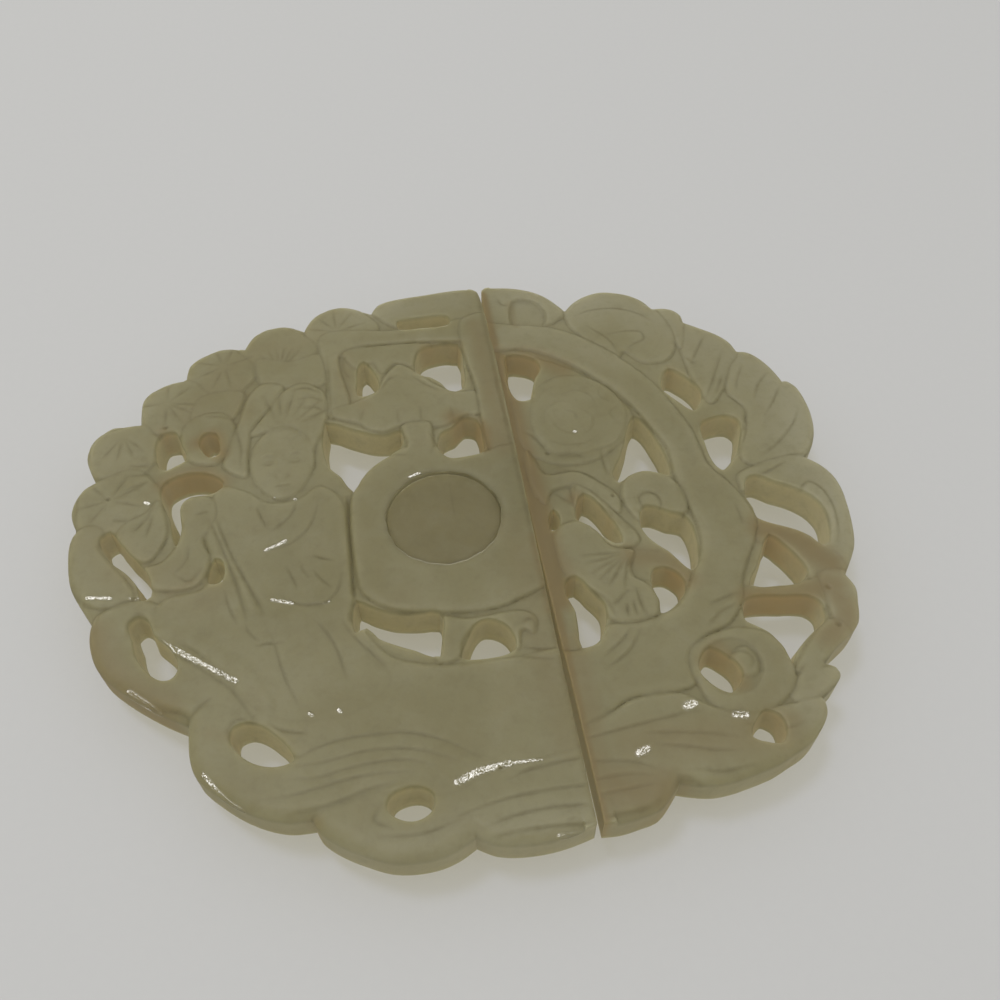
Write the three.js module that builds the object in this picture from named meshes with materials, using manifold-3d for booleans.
// Two-part belt buckle of carved nephrite: two pierced plaques that meet at a straight seam,
// a round medallion let into the carved jar, and a hook and catch on the back.
// Millimetres, +Z up. The carved face looks up and the belt side faces the surface it lies on.

import * as THREE from 'three';
import { mergeVertices } from 'three/addons/utils/BufferGeometryUtils.js';
import Module from 'manifold-3d';

const wasm = await Module();
wasm.setup();

// Driving dimensions

const BACK_HEIGHT = 3.2;          // gap under the plaques, filled by hook, catch and ribbon bridges
const PLAQUE_THICKNESS = 4.6;     // back face to the highest carving
const RELIEF_DEPTH = 0.65;        // from the highest carving down to the cut-back ground
const EDGE_ROUNDING = 0.45;
const SEAM_RIGHT_X = 8.4;         // straight edge of the right plaque
const DRAWING_MIDDLE = [0.45, 0.9];  // the drawing's x and y at the middle of the buckle

const FACE_Z = BACK_HEIGHT + PLAQUE_THICKNESS;
const GROUND_Z = FACE_Z - RELIEF_DEPTH;

const MEDALLION = { x: -2.1, y: 0.7, radius: 6.7, thickness: 1.5, sunk: 0.45, gap: 0.15 };

const HOOK = { middleY: 6, width: 6, rootToX: 15, tongueThickness: 1.4, lipThickness: 1.7, lipTop: 2.8 };
const CATCH = { fromX: 4.7, toX: 7.2, drop: 1.4, cheekWidth: 1.8, clearance: 0.35 };
const BRIDGE = { length: 14.5, width: 3.6, legLength: 3, slot: 1.7 };
const LEFT_BRIDGE_AT = [-22, -3];
const RIGHT_BRIDGE_AT = [29.3, 5];
const THIN_RIM = { fromX: -5.5, toX: 4.2, fromY: 37, toY: 42, thickness: 2.4 };
const JOIN = 0.3;                 // how far a joined feature runs into the plaque
const RIM_STEPS = 2;              // straight steps between two drawn points
const RELIEF_STEPS = 2;

// Rims: each row is one scallop, from notch to notch, anticlockwise from the top of the seam

const LEFT_RIM = [
  [[7.7, 39.9], [7.0, 40.6], [4.5, 40.9], [0, 40.6], [-4.6, 40.2], [-6.5, 39.5], [-7.6, 38]],
  [[-7.6, 38], [-9.2, 38.9], [-11, 39.7], [-13, 40], [-14.8, 39.1], [-16.1, 37.7], [-17.1, 35.9]],
  [[-17.1, 35.9], [-18.6, 36.8], [-20.7, 37.3], [-22.7, 36.9], [-24, 35.7], [-25.2, 33.4]],
  [[-25.2, 33.4], [-26.9, 34], [-28.8, 34], [-30.9, 32.9], [-32.5, 31.2], [-32.9, 28.9]],
  [[-32.9, 28.9], [-35, 28.6], [-37.2, 27.4], [-38.3, 25.8], [-38.5, 24], [-38.4, 21.6]],
  [[-38.4, 21.6], [-40, 21.6], [-41.9, 21.7], [-43.6, 20.4], [-44.6, 18.5], [-44.7, 16.6], [-43.4, 12.9]],
  [[-43.4, 12.9], [-44.8, 12], [-45.7, 10.2], [-45.9, 8.3], [-45.2, 5.9]],
  [[-45.2, 5.9], [-45.7, 3.9], [-45.6, 1], [-45.1, -2], [-44.1, -4.2], [-42.4, -7.2]],
  [[-42.4, -7.2], [-42.4, -9.5], [-41.8, -12], [-40.7, -14], [-39, -15.8], [-36.9, -17.6], [-34.2, -19.6],
    [-31.4, -21.3]],
  [[-31.4, -21.3], [-31.3, -24.5], [-30.6, -27], [-28.7, -29.1], [-26.4, -31], [-24, -32.4], [-21.6, -33.2],
    [-19.3, -33.3]],
  [[-19.3, -33.3], [-18.7, -34.6], [-16.9, -36.2], [-14.5, -37.6], [-12.3, -38.6], [-10, -39], [-7.4, -38.9],
    [-5.4, -38.3], [-3.9, -37.5]],
  [[-3.9, -37.5], [-2.2, -38.5], [0, -39], [3, -39.1], [5.5, -38.8], [7.7, -38.3]],
];

const RIGHT_RIM = [
  [[8.4, -38.4], [10.2, -38.5], [12.4, -38.2], [14.2, -37.8], [15.4, -36.9], [16.8, -35.4]],
  [[16.8, -35.4], [18.4, -35.9], [20.4, -36.3], [22.6, -36.2], [24.8, -35.8], [27, -35.3], [29, -34.5],
    [31, -33.6], [32.8, -32.1], [33.9, -30.5], [34, -29]],
  [[34, -29], [35.5, -28], [36.7, -26.9], [36.7, -25.8], [35.7, -25.1]],
  [[35.7, -25.1], [37.5, -23.6], [39.4, -22.4], [41, -21], [41.9, -18.6], [42.4, -16.6], [41.9, -14.8]],
  [[41.9, -14.8], [43, -13.3], [44.5, -11], [45.4, -8], [45.9, -5], [46.1, -2.6], [45.8, -0.4], [44.9, 1.3],
    [43.4, 2.8]],
  [[43.4, 2.8], [44.7, 4], [46, 6.4], [46.7, 9.4], [46.8, 12], [46.5, 14.6], [45.8, 15.9], [45, 15.8]],
  [[45, 15.8], [44.6, 18], [43.7, 20.1], [42.5, 21.8], [40.8, 22.3]],
  [[40.8, 22.3], [40.3, 24.3], [39, 26], [37.3, 27.4], [35.2, 29.1]],
  [[35.2, 29.1], [35.2, 30.6], [34.2, 31.9], [32.8, 32.4], [31.6, 32.5]],
  [[31.6, 32.5], [30.7, 34.3], [29, 35.8], [27, 36.7], [25, 37.1], [22.7, 36.6], [20.8, 35.5], [19.4, 34.1]],
  [[19.4, 34.1], [18.4, 35.7], [17, 37.6], [15, 39.1], [12.5, 40.1], [10.2, 40.5], [9, 40.6], [8.4, 40]],
];

// Piercings right through the stone: each row is one closed smooth outline

const LEFT_PIERCINGS = {
  frame_corner: [[-10.7, 22.3], [-10.6, 25], [-10.3, 27.6], [-9.4, 28.5], [-8.4, 27], [-7.8, 25], [-7.9, 23.2],
    [-9, 22.4]],
  frame_middle: [[-2.6, 25.2], [-2.1, 29.2], [-0.2, 30.3], [3.6, 30], [3.8, 26], [3.1, 21.5], [1.4, 21.3],
    [0.4, 22.9], [-1, 24.3]],
  top_slit: [[-4.2, 35.7], [-3.9, 34], [-1, 33.7], [2.6, 33.7], [3.2, 34.6], [2.7, 35.8], [-1, 36]],
  jar_neck_left: [[-15.2, 18.4], [-12.4, 17], [-9.6, 15.5], [-7.6, 15.1], [-5.8, 15.6], [-5.6, 13.2],
    [-6.8, 11.8], [-8.6, 10.7], [-10.4, 9.4], [-11.4, 7.9], [-12.4, 6.4], [-13.8, 9], [-15.2, 11]],
  jar_neck_right: [[-1.4, 12], [-0.4, 10], [1.6, 9.7], [3.9, 10], [4.4, 12.8], [4, 15.8], [2.4, 16.4],
    [0.8, 15], [-0.8, 14.2]],
  rosette_gap: [[-35.8, 14], [-36.4, 17], [-35.8, 19.4], [-34, 19.5], [-33.2, 17.4], [-32.5, 15],
    [-33.8, 14], [-35, 13.5]],
  curl_window: [[-31, 17.3], [-30.2, 18.7], [-28.9, 18.4], [-28.4, 16.6], [-28.6, 14.9], [-29.6, 14.5],
    [-30.4, 15.4]],
  leaf_pocket: [[-35.4, 9], [-35.2, 11.3], [-32.8, 12.5], [-30, 12.2], [-28.2, 10.8], [-28.1, 9.6],
    [-29.6, 8.8], [-32, 8.7], [-33, 7], [-32.8, 4.2], [-33.3, 1.6], [-33.9, 3.4], [-34.3, 5.8]],
  rim_leaf_slot: [[-41.6, 2], [-42.2, 4], [-41, 4.9], [-39.9, 3.4], [-38.6, 1.4], [-37.2, -0.4], [-36.1, -2.6],
    [-35.9, -5], [-37, -5.3], [-37.6, -3.2], [-39, -1.2], [-40.4, 0.2]],
  sleeve_hole: [[-29.5, -4.4], [-29.6, -2.6], [-28.9, -1], [-27.9, -1.6], [-28, -4.4]],
  scroll_slot: [[-37.6, -10.6], [-38.2, -8.4], [-37.2, -7.5], [-36, -8.2], [-35.2, -10.2], [-33.6, -12],
    [-32.6, -14], [-32.7, -15.3], [-33.4, -16], [-34.6, -15.8], [-36, -14.4], [-37.2, -12.4]],
  hull_scroll_hole: [[-27.1, -24.2], [-26.9, -22.7], [-25.4, -22.2], [-23.8, -22.9], [-22.4, -24.2],
    [-21.2, -25.7], [-20.8, -27.1], [-22.6, -27.5], [-24.5, -26.9], [-26.1, -25.7]],
  wave_hole: [[-12.1, -33.6], [-11.7, -32.4], [-10.3, -31.8], [-8.6, -31.9], [-7.4, -32.9], [-7.8, -34.5],
    [-9.2, -35.2], [-10.8, -34.9]],
  jar_foot_left: [[-13.7, -10.2], [-13.2, -9.2], [-11.6, -10.2], [-9.2, -11.4], [-6.4, -11.9], [-4.2, -12.2],
    [-3.9, -13.6], [-4.4, -15.8], [-4.9, -17.8], [-7.4, -16.6], [-9.7, -15.4], [-11.2, -14.4],
    [-12.4, -12.9], [-13.6, -13.5]],
  jar_foot_right: [[-2.6, -18.3], [-1.9, -16.4], [-0.8, -14.6], [0.4, -13.9], [2, -14.4], [3.2, -15.8],
    [3.4, -17.8], [2.2, -18.6], [0, -18.7]],
};

const RIGHT_PIERCINGS = {
  beside_seam_top: [[9.1, 20.6], [9.3, 24], [9.8, 26.7], [11.6, 26.5], [13.4, 25.4], [13.9, 23.4], [12.8, 21.6],
    [12.2, 20], [11.7, 18.1], [9.9, 18.1]],
  lotus_side: [[19.3, 4.2], [19.7, 2.6], [21, 3.4], [22.4, 3.8], [23.8, 3.7], [25.2, 3], [26.2, 2.8],
    [26.5, 5.6], [26, 9], [25.2, 12], [24.2, 13], [23, 11.6], [21.9, 9], [20.6, 6.4]],
  lily_curl: [[20.7, -3.9], [21.6, -1.6], [23, -1.7], [24.6, -2.8], [26.3, -3.6], [26.8, -6], [26.5, -8.6],
    [25.7, -10.8], [24.9, -11.2], [24, -10], [23, -8.3], [22, -7.2], [21.1, -5.8]],
  leaf_end: [[19.9, -12.6], [20.6, -10.4], [22.3, -10.4], [23.7, -12.2], [23.4, -13.9], [22.4, -15],
    [21.2, -15.9], [20, -16.2], [20.2, -14.6]],
  beside_seam_low: [[10.1, -12.4], [10.4, -10.4], [11.6, -10], [12.8, -11.8], [14, -14], [13.9, -15.8],
    [13.1, -17.8], [12, -19], [10.4, -19.1], [10.5, -16.6], [10.6, -14.4]],
  leaf_edge_slot: [[13.4, -2], [14, 0.4], [15, 1.5], [16.2, 0.4], [17.2, -2], [18, -4.4], [17.9, -6.4],
    [16.9, -6.2], [15.7, -4.6], [14.6, -3]],
  stem_pinhole: [[10.1, -3.2], [10.3, -1.2], [11, -0.2], [11.5, -1.4], [11, -3]],
  petal_sliver: [[29, 17.2], [29.6, 19.4], [30.8, 20.8], [32.2, 19.6], [33.6, 17.4], [33.9, 15.2], [32.9, 13.4],
    [32, 12.7], [30.7, 14.3], [29.6, 16]],
  petal_gap: [[31.9, 7.4], [32.3, 10.4], [34.4, 11.3], [36.4, 11.2], [37.3, 9.8], [36.4, 7], [35.4, 4.9],
    [34.2, 3.6], [32.8, 2.5], [32, 4]],
  cloud_slot: [[34.3, -1.9], [35.2, 0.6], [36.6, 0.9], [38.4, -0.4], [40.4, -1.6], [42.2, -3.4], [43, -5.6],
    [42.6, -8.2], [41.6, -10.3], [40.8, -10.3], [40, -9], [38.8, -7.9], [37.2, -7], [35.4, -6],
    [34.7, -5.2], [34.6, -3.6]],
  stem_triangle: [[30.8, -14.3], [32.2, -12.2], [33.7, -9.8], [35.2, -7.9], [36.4, -9.4], [37.4, -11.4],
    [37.9, -13.6], [36.6, -14.8], [34, -14.9]],
  stem_gap: [[28.9, -18.6], [29.6, -16.2], [31, -15.9], [34, -16.3], [37, -16.9], [38, -18.2], [37.6, -20],
    [36, -21.1], [34.3, -22.3], [33.1, -23.4], [32.2, -24.6], [31.9, -22.6], [31, -20.6], [29.8, -19.5]],
  lower_spiral: [[22.1, -24], [22.8, -22.2], [24, -21.3], [25.3, -22.2], [26.4, -23.8], [26.5, -25.2],
    [25.4, -26.5], [24.6, -26.9], [23, -25.7]],
  wave_crest_hole: [[25.3, -32.1], [26.2, -30.4], [27.6, -29.4], [28.9, -30.4], [28.9, -32.2], [28, -33.2],
    [26.6, -32.9]],
};

// Raised carving: each outline stands RELIEF_DEPTH above the ground, and the piercings cut through it

const LEFT_RELIEF = {
  seam_border: [[4.7, 34], [7.8, 34.4], [7.8, -19.6], [4.9, -19.2], [4.6, 0]],
  frame_top_bar: [[-14.4, 34.2], [-4, 33.9], [7.8, 34.2], [7.8, 30.8], [-4, 30.6], [-12.2, 30.8]],
  frame_side_bar: [[-14.9, 34.4], [-12, 34], [-11.9, 26], [-12.3, 20.6], [-14.6, 20], [-14.8, 27]],
  canopy: [[-14.6, 20.8], [-11.5, 22.4], [-7.4, 22.8], [-5.6, 25.6], [-3.4, 25.2], [-1.4, 23.6], [0.6, 21.6],
    [2, 19.4], [1.9, 17], [-0.6, 15.2], [-2.6, 16.2], [-5, 16], [-7.2, 15.4], [-9.8, 15.9], [-12, 17.4],
    [-14.2, 18.4]],
  jar: [[-5.6, 15.8], [-5.4, 12.8], [-8, 11.3], [-11, 8.6], [-12.7, 5.8], [-12.9, 0], [-12.9, -5],
    [-12.4, -8.6], [-10, -10.9], [-6, -12], [0, -12.9], [4, -12.2], [7.8, -9.9], [7.8, 9.9], [3, 10.2],
    [-0.6, 10], [-1.8, 12.6], [-2.2, 15.8]],
  stand: [[-4.8, -18], [-3.9, -12.2], [0, -12.9], [4.4, -13.2], [6, -14.6], [5.8, -16.6], [4.2, -17.2],
    [3.4, -15.4], [0.2, -14.2], [-2.2, -15.4], [-3, -18.4]],
  head: [[-20.8, 18.6], [-24, 17.2], [-24.8, 13], [-23.8, 8.8], [-20.8, 6.6], [-17.8, 8.8], [-16.8, 13],
    [-17.6, 17.2]],
  hair: [[-27.4, 17], [-25.6, 22.4], [-22.2, 25.8], [-18.4, 26.4], [-15.6, 23], [-15.4, 16.6], [-18, 19.4],
    [-21, 20.2], [-24.4, 18.8]],
  robe: [[-27.6, 9.4], [-24.6, 7.4], [-20.8, 5.6], [-16.4, 7.6], [-14.1, 4], [-14, -9], [-13.9, -15.4],
    [-12.4, -20.4], [-17, -22.4], [-23.8, -22], [-27.6, -17], [-34.6, -9.6], [-34.4, -5.4], [-29.8, -5.6],
    [-30.4, 4]],
  hull: [[-25.6, -20.6], [-17.6, -22.8], [-11.6, -19.8], [-5, -18.6], [3, -19.2], [7.8, -19.4], [7.8, -30.8],
    [-2, -31.4], [-8, -27.4], [-14.6, -25.2], [-20.2, -24.4]],
  wave_upper: [[-30.8, -22.4], [-27.6, -22], [-27, -25.6], [-24.8, -27.9], [-20.4, -28], [-14.6, -25.8],
    [-7.6, -28], [-2.4, -32], [-8, -31], [-13.4, -31.2], [-19.2, -32.8], [-24, -32], [-28.4, -28.8],
    [-30.9, -25]],
  wave_lower: [[-18.6, -33.8], [-13.2, -31.8], [-12.6, -35.4], [-8.6, -36], [-6.8, -33.6], [-3.4, -32.4],
    [2, -31.4], [7.8, -31], [7.8, -38.2], [2, -38.9], [-3.8, -37.4], [-9, -38.8], [-14, -37.6]],
  rim_scroll: [[-42, -7.6], [-39.8, -5.7], [-37, -5.6], [-35.4, -7.6], [-34.4, -10.4], [-31.9, -13.6],
    [-31.4, -16.8], [-32.4, -20], [-36.6, -17.2], [-40.2, -14], [-41.9, -10.6]],
  rim_leaf: [[-45.4, 5], [-43.2, 6], [-42.8, 2], [-40.8, -0.8], [-38.4, -3.4], [-37.6, -5.8], [-41.4, -6],
    [-44.4, -3.4], [-45.4, 0.4]],
};

const ROSETTES = [
  { x: -12.2, y: 34.9, radius: 5.1 },
  { x: -21, y: 31.9, radius: 5.2 },
  { x: -28.7, y: 28.8, radius: 4.9 },
  { x: -34, y: 23.6, radius: 4.8 },
  { x: -40.1, y: 17, radius: 4.6 },
  { x: -40.2, y: 8.6, radius: 5.2 },
];
const ROSETTE_PETALS = 5;
const ROSETTE_WAVE = 0.35;

const RIGHT_RELIEF = {
  arc_band: [[8.3, 33], [13, 32.3], [18.4, 30], [23, 26], [26.6, 21.4], [29.4, 15.6], [30.9, 9.6], [31.2, 3.4],
    [32.8, -1.2], [33.6, -5.8], [31.6, -10.8], [28.6, -17.2], [22, -20.4], [20, -24.6], [14, -26],
    [8.3, -29.6], [8.3, -20.6], [13, -20.4], [18, -17.8], [22.6, -16.2], [25.6, -12.4], [27, -7],
    [27, 0], [26.7, 7], [25, 13], [22, 18.9], [18, 23.4], [13, 26.8], [8.3, 28.2]],
  lotus_flower: [[11.4, 17.2], [13.6, 20.4], [17.6, 21.6], [21.2, 19.2], [23.4, 15.4], [22.4, 11.2], [21, 8.4],
    [17, 6.8], [13.2, 8.2], [10.8, 12]],
  lotus_leaf: [[11.8, -2.8], [14.4, -3.2], [16.6, -6.8], [19.6, -7], [19.4, -12.4], [19.2, -16], [15, -16.8],
    [13.6, -12.6], [11, -9.6], [10.4, -6]],
  lily: [[19.8, 1.6], [22.6, 3.6], [25.6, 2.4], [26.6, 0], [26.2, -3.4], [23.8, -2.6], [21.8, -1.4], [20.4, -2.6]],
  upper_petal: [[19.9, 33.6], [22.8, 36], [26.6, 36.2], [30, 34], [31.4, 31], [33.2, 28], [32.6, 23.6],
    [29.6, 22], [26.6, 23.6], [25.4, 26.4], [22.4, 30.2]],
  middle_petal: [[35, 28.6], [38.6, 25.8], [40.4, 22.2], [39.6, 18.6], [36.6, 14.8], [34.6, 13.4], [34.2, 18.4],
    [33.6, 24]],
  outer_petal: [[41.2, 22], [43.8, 19.2], [45.4, 14.6], [46.2, 9.6], [43.2, 3.2], [38.4, 2.2], [36.2, 4.6],
    [38.2, 10], [39.2, 15.4], [40.6, 18.6]],
  cloud: [[34.6, 0.9], [38, 2.4], [43, 2.4], [45.4, -2.4], [45.2, -8], [43, -12.6], [41.6, -10.6], [43, -6],
    [41.6, -2], [38.6, -0.4]],
  stem_knot: [[38.2, -13.8], [41.4, -12.6], [41.9, -17.2], [39.6, -21.6], [36.4, -24.4], [33.6, -28.6],
    [31.2, -29.4], [32.6, -24.8], [36.2, -21.4], [38.4, -18.6]],
  lower_scroll: [[22, -20.2], [26.2, -19.2], [29.8, -19.8], [31.6, -22.8], [31.2, -26.4], [28.4, -28.8],
    [25.4, -28.8], [27.6, -25.8], [27.2, -22.8], [24.8, -21.4]],
  wave: [[8.3, -29.8], [14, -26.8], [20, -25.8], [25, -27.8], [30, -28.4], [33.7, -29], [32.6, -31.6],
    [28.4, -34.2], [22.6, -35.6], [17, -34.6], [13.6, -37.4], [8.3, -38]],
};

// Curves and solids

function smooth(points, closed, stepsPerSpan) {
  const curve = new THREE.CatmullRomCurve3(
    points.map(([x, y]) => new THREE.Vector3(x, y, 0)), closed, 'centripetal');
  const spans = closed ? points.length : points.length - 1;
  const samples = curve.getPoints(spans * stepsPerSpan);
  samples.pop();
  return samples.map((point) => new THREE.Vector2(point.x, point.y));
}

function rimOutline(scallops) {
  const last = scallops.at(-1).at(-1);
  return [...scallops.flatMap((scallop) => smooth(scallop, false, RIM_STEPS)), new THREE.Vector2(...last)];
}

function rosetteOutline({ x, y, radius }) {
  const steps = ROSETTE_PETALS * 5;
  return Array.from({ length: steps }, (_, step) => {
    const angle = step / steps * Math.PI * 2;
    const reach = radius + ROSETTE_WAVE * Math.cos(angle * ROSETTE_PETALS);
    return new THREE.Vector2(x + reach * Math.cos(angle), y + reach * Math.sin(angle));
  });
}

function prism(outline, fromZ, toZ, bevel = 0) {
  const shape = new THREE.Shape(outline);
  const geometry = new THREE.ExtrudeGeometry(shape, {
    depth: toZ - fromZ - 2 * bevel,
    bevelEnabled: bevel > 0,
    bevelThickness: bevel,
    bevelSize: bevel,
    bevelOffset: -bevel,
    bevelSegments: 1,
    steps: 1,
  });
  geometry.translate(0, 0, fromZ + bevel);
  return solid(geometry);
}

function box(fromX, toX, fromY, toY, fromZ, toZ) {
  const geometry = new THREE.BoxGeometry(toX - fromX, toY - fromY, toZ - fromZ);
  geometry.translate((fromX + toX) / 2, (fromY + toY) / 2, (fromZ + toZ) / 2);
  return solid(geometry);
}

function disc(x, y, radius, fromZ, toZ, sides = 40) {
  const geometry = new THREE.CylinderGeometry(radius, radius, toZ - fromZ, sides);
  geometry.rotateX(Math.PI / 2);
  geometry.translate(x, y, (fromZ + toZ) / 2);
  return solid(geometry);
}

function solid(geometry) {
  geometry.deleteAttribute('normal');
  geometry.deleteAttribute('uv');
  const merged = mergeVertices(geometry, 1e-4);
  return new wasm.Manifold(new wasm.Mesh({
    numProp: 3,
    vertProperties: merged.attributes.position.array,
    triVerts: Uint32Array.from(merged.index.array),
  }));
}

function joined(solids) {
  return solids.reduce((sum, next) => sum.add(next));
}

function meshOf(result, name, material) {
  const { vertProperties, triVerts } = result.getMesh();
  const geometry = new THREE.BufferGeometry();
  geometry.setAttribute('position', new THREE.BufferAttribute(vertProperties, 3));
  geometry.setIndex(new THREE.BufferAttribute(triVerts, 1));
  geometry.computeVertexNormals();
  const mesh = new THREE.Mesh(geometry, material);
  mesh.name = name;
  mesh.position.set(-DRAWING_MIDDLE[0], -DRAWING_MIDDLE[1], 0);
  return mesh;
}

// Carved plaques

function carvedPlaque(rim, piercings, reliefOutlines) {
  const outline = rimOutline(rim);
  const ground = prism(outline, BACK_HEIGHT, GROUND_Z, EDGE_ROUNDING);
  const limit = prism(outline, BACK_HEIGHT + EDGE_ROUNDING, FACE_Z, EDGE_ROUNDING);
  const relief = joined(reliefOutlines.map((shape) => prism(shape, GROUND_Z - 1, FACE_Z, EDGE_ROUNDING)));
  const holes = joined(Object.values(piercings).map((points) =>
    prism(smooth(points, true, RIM_STEPS), BACK_HEIGHT - 1, FACE_Z + 1)));
  return ground.add(relief.intersect(limit)).subtract(holes);
}

// Back of the buckle: a low bridge for the belt ribbon on each plaque

function ribbonBridge([x, y]) {
  const halfLength = BRIDGE.length / 2;
  const halfWidth = BRIDGE.width / 2;
  const reach = halfLength - BRIDGE.legLength;
  const bar = box(x - halfWidth, x + halfWidth, y - halfLength, y + halfLength, 0, BACK_HEIGHT + JOIN);
  const slot = box(x - BRIDGE.width, x + BRIDGE.width, y - reach, y + reach, BACK_HEIGHT - BRIDGE.slot,
    BACK_HEIGHT);
  return bar.subtract(slot);
}

// The left plaque's catch: a short bar between two cheeks, open behind the bar for the hook's lip

function catchSolids() {
  const inner = HOOK.width / 2 + CATCH.clearance;
  const outer = inner + CATCH.cheekWidth;
  const fromX = CATCH.fromX - HOOK.lipThickness - 2 * CATCH.clearance;
  const cheeks = [-1, 1].map((side) => {
    const edges = [HOOK.middleY + side * inner, HOOK.middleY + side * outer];
    return box(fromX, CATCH.toX, Math.min(...edges), Math.max(...edges), 0, BACK_HEIGHT + JOIN);
  });
  const bar = box(CATCH.fromX, CATCH.toX, HOOK.middleY - outer, HOOK.middleY + outer,
    BACK_HEIGHT - CATCH.drop, BACK_HEIGHT + JOIN);
  return [...cheeks, bar];
}

// The right plaque's hook: a root, a flat tongue under the seam, and a lip that rises behind the bar

function hookSolids() {
  const fromY = HOOK.middleY - HOOK.width / 2;
  const toY = HOOK.middleY + HOOK.width / 2;
  const lipToX = CATCH.fromX - CATCH.clearance;
  const lipFromX = lipToX - HOOK.lipThickness;
  return [
    box(SEAM_RIGHT_X + 0.4, HOOK.rootToX, fromY, toY, 0, BACK_HEIGHT + JOIN),
    box(lipFromX, HOOK.rootToX, fromY, toY, 0, HOOK.tongueThickness),
    box(lipFromX, lipToX, fromY, toY, 0, HOOK.lipTop),
  ];
}

// Sub-parts

function leftPlaque(material) {
  const shapes = [
    ...Object.values(LEFT_RELIEF).map((points) => smooth(points, true, RELIEF_STEPS)),
    ...ROSETTES.map(rosetteOutline),
  ];
  const pocketFloor = FACE_Z - MEDALLION.sunk - MEDALLION.thickness - MEDALLION.gap;
  const pocket = disc(MEDALLION.x, MEDALLION.y, MEDALLION.radius + MEDALLION.gap, pocketFloor, FACE_Z + 1);
  const thinning = box(THIN_RIM.fromX, THIN_RIM.toX, THIN_RIM.fromY, THIN_RIM.toY, 0,
    FACE_Z - THIN_RIM.thickness);
  const plaque = carvedPlaque(LEFT_RIM, LEFT_PIERCINGS, shapes).subtract(pocket).subtract(thinning);
  return meshOf(joined([plaque, ribbonBridge(LEFT_BRIDGE_AT), ...catchSolids()]), 'left_plaque', material);
}

function rightPlaque(material) {
  const shapes = Object.values(RIGHT_RELIEF).map((points) => smooth(points, true, RELIEF_STEPS));
  const plaque = carvedPlaque(RIGHT_RIM, RIGHT_PIERCINGS, shapes);
  return meshOf(joined([plaque, ribbonBridge(RIGHT_BRIDGE_AT), ...hookSolids()]), 'right_plaque', material);
}

function jarMedallion(material) {
  const top = FACE_Z - MEDALLION.sunk;
  return meshOf(disc(MEDALLION.x, MEDALLION.y, MEDALLION.radius, top - MEDALLION.thickness, top),
    'jar_medallion', material);
}

// Materials and assembly

const nephrite = () => new THREE.MeshStandardMaterial({ color: '#8f8a70', roughness: 0.32, metalness: 0 });
const darkNephrite = new THREE.MeshStandardMaterial({ color: '#827d62', roughness: 0.35, metalness: 0 });

const buckle = new THREE.Group();
buckle.add(leftPlaque(nephrite()), rightPlaque(nephrite()), jarMedallion(darkNephrite));

export default buckle;
